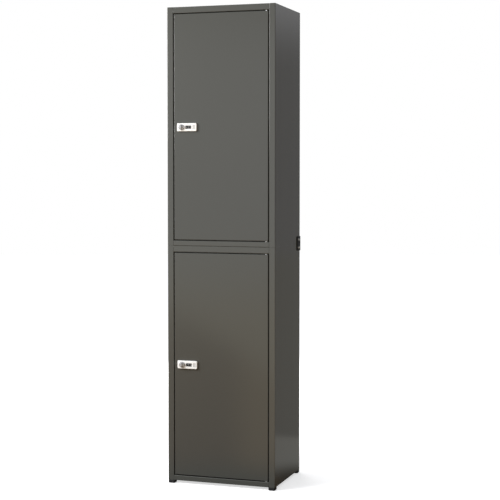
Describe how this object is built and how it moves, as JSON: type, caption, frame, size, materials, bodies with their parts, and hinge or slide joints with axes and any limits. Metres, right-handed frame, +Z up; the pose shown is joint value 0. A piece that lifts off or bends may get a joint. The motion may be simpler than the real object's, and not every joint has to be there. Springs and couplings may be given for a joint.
{
  "type": "parcel locker",
  "caption": "Tall sheet-steel parcel locker of stacked compartments with flush hinged doors, each with a number lock, a turning knob and a cam.",
  "frame": {"origin": "on the floor, under the middle of the locker's box", "axes": "+X to the right as seen from the front, +Y to the back, +Z up"},
  "size_m": [0.437, 0.3444, 1.8],
  "materials": {
    "cabinet_paint": "semi-gloss powder coat, anthracite grey",
    "door_paint": "semi-gloss powder coat, anthracite grey",
    "joiner_paint": "satin black",
    "white_plastic": "gloss white",
    "black_plastic": "matte black",
    "wheel_plastic": "black with light numbers",
    "foot_plastic": "matte black",
    "buffer_rubber": "matte black",
    "nylon": "grey nylon",
    "satin_chrome": "satin",
    "zinc_steel": "zinc plated",
    "bright_steel": "bright"
  },
  "bodies": {
    "carcass": {"lower_left_side": "cabinet_paint", "lower_right_side": "cabinet_paint", "lower_back_panel": "cabinet_paint", "lower_top_panel": "cabinet_paint", "lower_bottom_panel": "cabinet_paint", "lower_hinge_bushes": "nylon", "lower_door_buffers": "buffer_rubber", "upper_left_side": "cabinet_paint", "upper_right_side": "cabinet_paint", "upper_back_panel": "cabinet_paint", "upper_top_panel": "cabinet_paint", "upper_bottom_panel": "cabinet_paint", "upper_hinge_bushes": "nylon", "upper_door_buffers": "buffer_rubber", "front_left_foot": "foot_plastic", "front_right_foot": "foot_plastic", "rear_left_foot": "foot_plastic", "rear_right_foot": "foot_plastic", "left_joining_plate": "joiner_paint", "right_joining_plate": "joiner_paint", "joining_screws": "bright_steel", "joining_nuts": "zinc_steel", "stacking_bolts": "zinc_steel", "stacking_nuts": "zinc_steel"},
    "lower_door": {"lower_door_skin": "door_paint", "lower_door_channel": "door_paint", "lower_hinge_blocks": "zinc_steel", "lower_hinge_pins": "zinc_steel", "lower_lock_plate": "white_plastic", "lower_lock_case": "black_plastic", "lower_lock_screws": "zinc_steel", "lower_wheel_axle": "zinc_steel", "lower_click_spring": "zinc_steel"},
    "lower_latch": {"lower_knob": "satin_chrome", "lower_spindle": "zinc_steel", "lower_cam": "zinc_steel", "lower_cam_nut": "zinc_steel"},
    "lower_wheel_1": {"lower_number_wheel_1": "wheel_plastic"},
    "lower_wheel_2": {"lower_number_wheel_2": "wheel_plastic"},
    "lower_wheel_3": {"lower_number_wheel_3": "wheel_plastic"},
    "upper_door": {"upper_door_skin": "door_paint", "upper_door_channel": "door_paint", "upper_hinge_blocks": "zinc_steel", "upper_hinge_pins": "zinc_steel", "upper_lock_plate": "white_plastic", "upper_lock_case": "black_plastic", "upper_lock_screws": "zinc_steel", "upper_wheel_axle": "zinc_steel", "upper_click_spring": "zinc_steel"},
    "upper_latch": {"upper_knob": "satin_chrome", "upper_spindle": "zinc_steel", "upper_cam": "zinc_steel", "upper_cam_nut": "zinc_steel"},
    "upper_wheel_1": {"upper_number_wheel_1": "wheel_plastic"},
    "upper_wheel_2": {"upper_number_wheel_2": "wheel_plastic"},
    "upper_wheel_3": {"upper_number_wheel_3": "wheel_plastic"}
  },
  "joints": [
    {"name": "lower_door_hinge", "type": "hinge", "parent": "carcass", "child": "lower_door", "pos_m": [0.1765, -0.14385, 0.4569], "axis": [0, 0, 1], "range_deg": [0, 105]},
    {"name": "lower_knob_turn", "type": "hinge", "parent": "lower_door", "child": "lower_latch", "pos_m": [-0.1525, -0.16085, 0.4569], "axis": [0, 1, 0], "range_deg": [0, 90]},
    {"name": "lower_wheel_1_roll", "type": "hinge", "parent": "lower_door", "child": "lower_wheel_1", "pos_m": [-0.1332, -0.14955, 0.4569], "axis": [1, 0, 0], "continuous": true},
    {"name": "lower_wheel_2_roll", "type": "hinge", "parent": "lower_door", "child": "lower_wheel_2", "pos_m": [-0.1253, -0.14955, 0.4569], "axis": [1, 0, 0], "continuous": true},
    {"name": "lower_wheel_3_roll", "type": "hinge", "parent": "lower_door", "child": "lower_wheel_3", "pos_m": [-0.1174, -0.14955, 0.4569], "axis": [1, 0, 0], "continuous": true},
    {"name": "upper_door_hinge", "type": "hinge", "parent": "carcass", "child": "upper_door", "pos_m": [0.1765, -0.14385, 1.3511], "axis": [0, 0, 1], "range_deg": [0, 105]},
    {"name": "upper_knob_turn", "type": "hinge", "parent": "upper_door", "child": "upper_latch", "pos_m": [-0.1525, -0.16085, 1.3511], "axis": [0, 1, 0], "range_deg": [0, 90]},
    {"name": "upper_wheel_1_roll", "type": "hinge", "parent": "upper_door", "child": "upper_wheel_1", "pos_m": [-0.1332, -0.14955, 1.3511], "axis": [1, 0, 0], "continuous": true},
    {"name": "upper_wheel_2_roll", "type": "hinge", "parent": "upper_door", "child": "upper_wheel_2", "pos_m": [-0.1253, -0.14955, 1.3511], "axis": [1, 0, 0], "continuous": true},
    {"name": "upper_wheel_3_roll", "type": "hinge", "parent": "upper_door", "child": "upper_wheel_3", "pos_m": [-0.1174, -0.14955, 1.3511], "axis": [1, 0, 0], "continuous": true}
  ]
}
